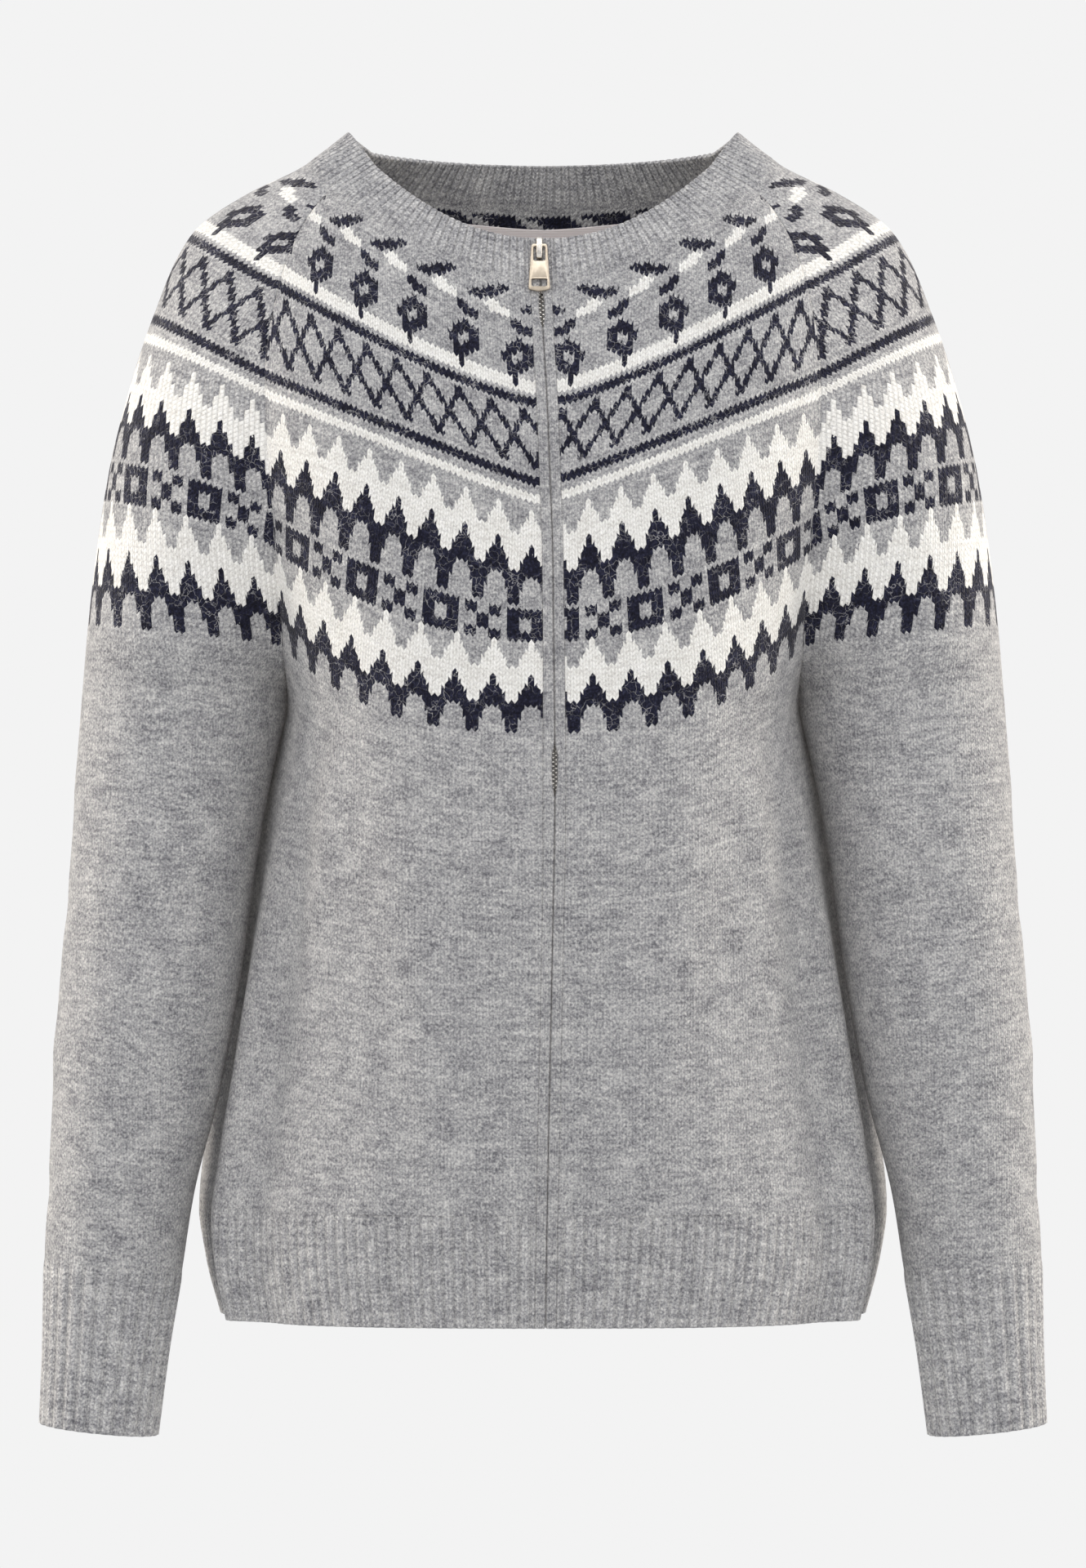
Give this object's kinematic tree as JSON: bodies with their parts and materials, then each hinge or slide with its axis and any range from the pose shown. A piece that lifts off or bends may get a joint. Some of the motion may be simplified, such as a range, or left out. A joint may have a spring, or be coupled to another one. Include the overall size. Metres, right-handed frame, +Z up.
{
  "type": "zip cardigan",
  "caption": "Zip cardigan with raglan sleeves, ribbed neckband, cuffs and hem, and a two-colour knitted yoke pattern, hollow and in the form it has when worn.",
  "frame": {"origin": "midway between the two highest points of the neckband, where the shoulders hold it up", "axes": "+Z up, -Y out of the front of the cardigan, +X towards the wearer's left"},
  "size_m": [0.514, 0.2266, 0.6675],
  "materials": {
    "knit_patterned": "soft wool knit with navy and off-white pattern",
    "knit_grey": "soft ribbed wool knit, light grey melange",
    "zip_tape": "woven polyester tape",
    "zip_teeth": "nickel-plated teeth",
    "retainer": "nickel-plated",
    "slider_nickel": "polished nickel",
    "pull_nickel": "warm satin nickel",
    "label_satin": "pale woven satin, bare"
  },
  "bodies": {
    "garment": {"front_left": "knit_patterned", "front_right": "knit_patterned", "back": "knit_patterned", "sleeve_left": "knit_patterned", "sleeve_right": "knit_patterned", "neckband": "knit_grey", "hem_rib": "knit_grey", "cuff_left": "knit_grey", "cuff_right": "knit_grey", "edge_band_left": "knit_grey", "edge_band_right": "knit_grey", "zip_tape_left": "zip_tape", "zip_tape_right": "zip_tape", "zip_chain": "zip_teeth", "zip_box": "retainer", "slider": "slider_nickel", "neck_label": "label_satin"},
    "pull": {"pull_tab": "pull_nickel"}
  },
  "joints": [
    {"name": "pull_swing", "type": "hinge", "parent": "garment", "child": "pull", "pos_m": [-0.00185, -0.08286, -0.06453], "axis": [-1, 0, 0], "range_deg": [0, 160]}
  ]
}
